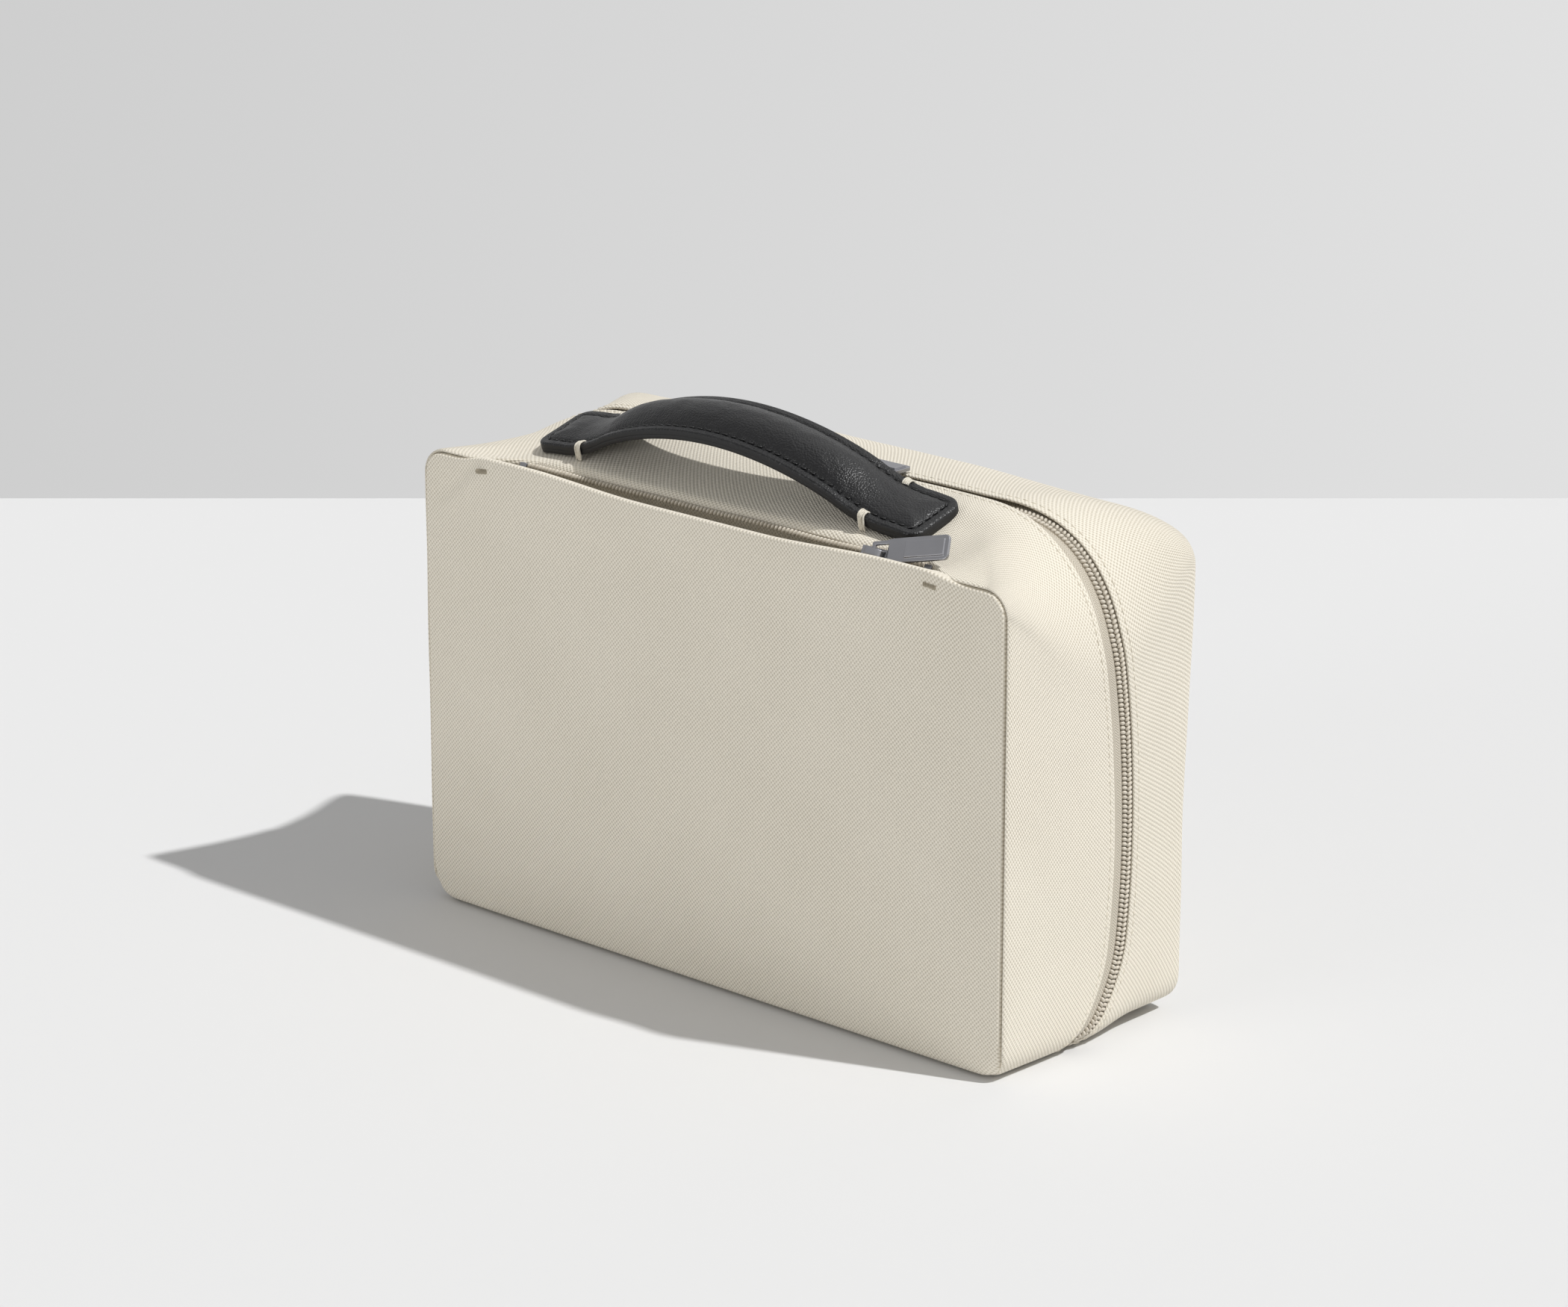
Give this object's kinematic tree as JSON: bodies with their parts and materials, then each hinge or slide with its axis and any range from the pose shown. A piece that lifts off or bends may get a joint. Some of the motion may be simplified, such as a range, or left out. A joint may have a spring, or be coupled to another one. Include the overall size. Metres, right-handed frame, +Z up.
{
  "type": "toiletry bag",
  "caption": "Boxy padded fabric toiletry bag with a clamshell zip, an open front zip pocket and a padded leather handle on top.",
  "frame": {"origin": "under the middle of the bag's box, on the plane it stands on", "axes": "+X along the width to the viewer's right, +Y from the front face to the back, +Z up"},
  "size_m": [0.25, 0.088, 0.1864],
  "materials": {
    "polyester": "plain woven, matt, cream",
    "lining": "smooth woven lining, warm grey",
    "foam": "open-cell padding, off-white",
    "tape": "fine herringbone zip tape, beige",
    "coil": "monofilament coil, brownish grey, slight sheen",
    "thread": "thick cream thread",
    "leather": "black pebbled leather, painted edges",
    "gunmetal": "dark plated zinc, satin"
  },
  "bodies": {
    "front_half": {"front_panel": "polyester", "pocket_lining": "lining", "pocket_back_wall": "polyester", "divider_lining": "lining", "front_gusset": "polyester", "front_foam": "foam", "front_lining": "lining", "hinge_tape": "tape", "front_zip_tape": "tape", "front_zip_coil": "coil", "pocket_back_tape": "tape", "pocket_back_coil": "coil", "pocket_stop_left": "gunmetal", "pocket_stop_right": "gunmetal", "pocket_front_tape": "tape", "pocket_front_coil": "coil", "bartack_left": "thread", "bartack_right": "thread"},
    "back_half": {"back_panel": "polyester", "back_panel_foam": "foam", "back_panel_lining": "lining", "back_gusset": "polyester", "back_foam": "foam", "back_lining": "lining", "back_zip_tape": "tape", "back_zip_coil": "coil"},
    "handle": {"handle_base": "leather", "handle_top": "leather", "handle_core": "foam", "handle_tack_front_left": "thread", "handle_tack_front_right": "thread", "handle_tack_back_left": "thread", "handle_tack_back_right": "thread"},
    "right_slider": {"main_slider_right": "gunmetal"},
    "right_pull": {"main_pull_right": "gunmetal"},
    "left_slider": {"main_slider_left": "gunmetal"},
    "left_pull": {"main_pull_left": "gunmetal"},
    "pocket_slider_body": {"pocket_slider": "gunmetal"},
    "pocket_pull_body": {"pocket_pull": "gunmetal"}
  },
  "joints": [
    {"name": "lid_hinge", "type": "hinge", "parent": "front_half", "child": "back_half", "pos_m": [0, -0.00838, 0], "axis": [-1, 0, 0], "range_deg": [0, 170]},
    {"name": "handle_lift", "type": "slide", "parent": "front_half", "child": "handle", "axis": [0, 0, 1], "range_m": [0, 0.003]},
    {"name": "right_slider_travel", "type": "slide", "parent": "front_half", "child": "right_slider", "axis": [1, 0, 0], "range_m": [0, 0.052]},
    {"name": "right_pull_swing", "type": "hinge", "parent": "right_slider", "child": "right_pull", "pos_m": [0.0122, 0.00676, 0.1685], "axis": [0, -1, 0], "range_deg": [0, 85]},
    {"name": "left_slider_travel", "type": "slide", "parent": "front_half", "child": "left_slider", "axis": [-1, 0, 0], "range_m": [0, 0.063]},
    {"name": "left_pull_swing", "type": "hinge", "parent": "left_slider", "child": "left_pull", "pos_m": [-0.0014, 0.00676, 0.1685], "axis": [0, 1, 0], "range_deg": [0, 85]},
    {"name": "pocket_slider_travel", "type": "slide", "parent": "front_half", "child": "pocket_slider_body", "axis": [-1, 0, 0], "range_m": [0, 0.14]},
    {"name": "pocket_pull_swing", "type": "hinge", "parent": "pocket_slider_body", "child": "pocket_pull_body", "pos_m": [0.0675, -0.03786, 0.1568], "axis": [0.2588, -0.483, -0.8365], "range_deg": [0, 25]}
  ]
}
